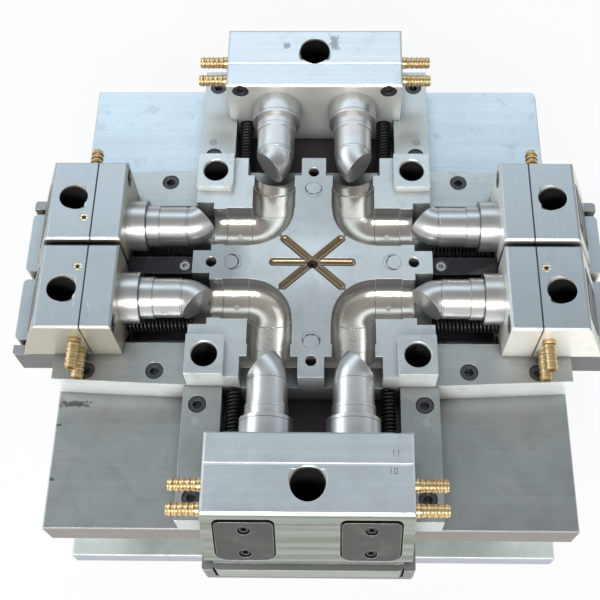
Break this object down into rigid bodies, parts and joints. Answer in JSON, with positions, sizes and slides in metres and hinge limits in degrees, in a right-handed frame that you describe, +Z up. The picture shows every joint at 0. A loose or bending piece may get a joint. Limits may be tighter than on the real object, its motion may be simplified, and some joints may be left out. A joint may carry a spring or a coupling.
{
  "type": "plastic mould",
  "caption": "Moving half of an injection mould for pipe elbows: a cavity block with half-round elbow cavities, ringed by spring-loaded slides that carry the mitred cores.",
  "frame": {"origin": "centre of the clamp plate's bottom face, which is also the centre of the part's footprint", "axes": "+Z up, from the clamp plate towards the parting face; +X to the right and +Y to the back, seen from the side with two wear plates on the near slide; the slides run along X and Y"},
  "size_m": [0.588, 0.588, 0.244],
  "materials": {
    "plate_steel": "ground",
    "insert_steel": "fine ground, polished cavities",
    "gib_steel": "ground",
    "slide_steel": "ground",
    "hardened_steel": "ground and hardened",
    "polished_steel": "turned and polished",
    "wear_steel": "dark, oiled",
    "spring_steel": "oil tempered wire",
    "black_screws": "black oxide",
    "brass": "machined"
  },
  "bodies": {
    "base": {"clamp_plate": "plate_steel", "spacer_blocks": "plate_steel", "main_plate": "plate_steel", "cavity_block": "insert_steel", "centre_rails": "hardened_steel", "side_gibs_left": "gib_steel", "side_gibs_right": "gib_steel", "end_gibs_front": "gib_steel", "end_gibs_back": "gib_steel", "slide_supports": "plate_steel", "gib_fasteners": "black_screws", "plate_bolts": "black_screws", "support_pillars": "plate_steel", "springs_left_rear": "spring_steel", "springs_left_front": "spring_steel", "springs_right_rear": "spring_steel", "springs_right_front": "spring_steel", "springs_back": "spring_steel", "springs_front": "spring_steel"},
    "ejector": {"ejector_plate": "plate_steel", "retainer_plate": "plate_steel", "return_pins": "hardened_steel", "ejector_pins": "hardened_steel", "ejector_screws": "black_screws"},
    "slide_left_rear": {"slide_left_rear": "slide_steel", "holder_left_rear": "slide_steel", "core_left_rear": "polished_steel", "wear_plate_left_rear": "wear_steel", "nipples_left_rear": "brass", "screws_left_rear": "black_screws"},
    "slide_left_front": {"slide_left_front": "slide_steel", "holder_left_front": "slide_steel", "core_left_front": "polished_steel", "wear_plate_left_front": "wear_steel", "nipples_left_front": "brass", "screws_left_front": "black_screws"},
    "slide_right_rear": {"slide_right_rear": "slide_steel", "holder_right_rear": "slide_steel", "core_right_rear": "polished_steel", "wear_plate_right_rear": "wear_steel", "nipples_right_rear": "brass", "screws_right_rear": "black_screws"},
    "slide_right_front": {"slide_right_front": "slide_steel", "holder_right_front": "slide_steel", "core_right_front": "polished_steel", "wear_plate_right_front": "wear_steel", "nipples_right_front": "brass", "screws_right_front": "black_screws"},
    "slide_back": {"slide_back": "slide_steel", "holder_back": "slide_steel", "cores_back": "polished_steel", "wear_plates_back": "wear_steel", "nipples_back": "brass", "screws_back": "black_screws"},
    "slide_front": {"slide_front": "slide_steel", "holder_front": "slide_steel", "cores_front": "polished_steel", "wear_plates_front": "wear_steel", "nipples_front": "brass", "screws_front": "black_screws"}
  },
  "joints": [
    {"name": "slide_left_rear_travel", "type": "slide", "parent": "base", "child": "slide_left_rear", "axis": [1, 0, 0], "range_m": [0, 0.0635], "stiffness_N_per_m": 2000, "springref_m": -0.02, "deforming": ["springs_left_rear"]},
    {"name": "slide_left_front_travel", "type": "slide", "parent": "base", "child": "slide_left_front", "axis": [1, 0, 0], "range_m": [0, 0.0635], "stiffness_N_per_m": 2000, "springref_m": -0.02, "deforming": ["springs_left_front"]},
    {"name": "slide_right_rear_travel", "type": "slide", "parent": "base", "child": "slide_right_rear", "axis": [-1, 0, 0], "range_m": [0, 0.0635], "stiffness_N_per_m": 2000, "springref_m": -0.02, "deforming": ["springs_right_rear"]},
    {"name": "slide_right_front_travel", "type": "slide", "parent": "base", "child": "slide_right_front", "axis": [-1, 0, 0], "range_m": [0, 0.0635], "stiffness_N_per_m": 2000, "springref_m": -0.02, "deforming": ["springs_right_front"]},
    {"name": "slide_back_travel", "type": "slide", "parent": "base", "child": "slide_back", "axis": [0, -1, 0], "range_m": [0, 0.0635], "stiffness_N_per_m": 2000, "springref_m": -0.02, "deforming": ["springs_back"]},
    {"name": "slide_front_travel", "type": "slide", "parent": "base", "child": "slide_front", "axis": [0, 1, 0], "range_m": [0, 0.0635], "stiffness_N_per_m": 2000, "springref_m": -0.02, "deforming": ["springs_front"]},
    {"name": "ejector_travel", "type": "slide", "parent": "base", "child": "ejector", "axis": [0, 0, -1], "range_m": [-0.03, 0]}
  ]
}
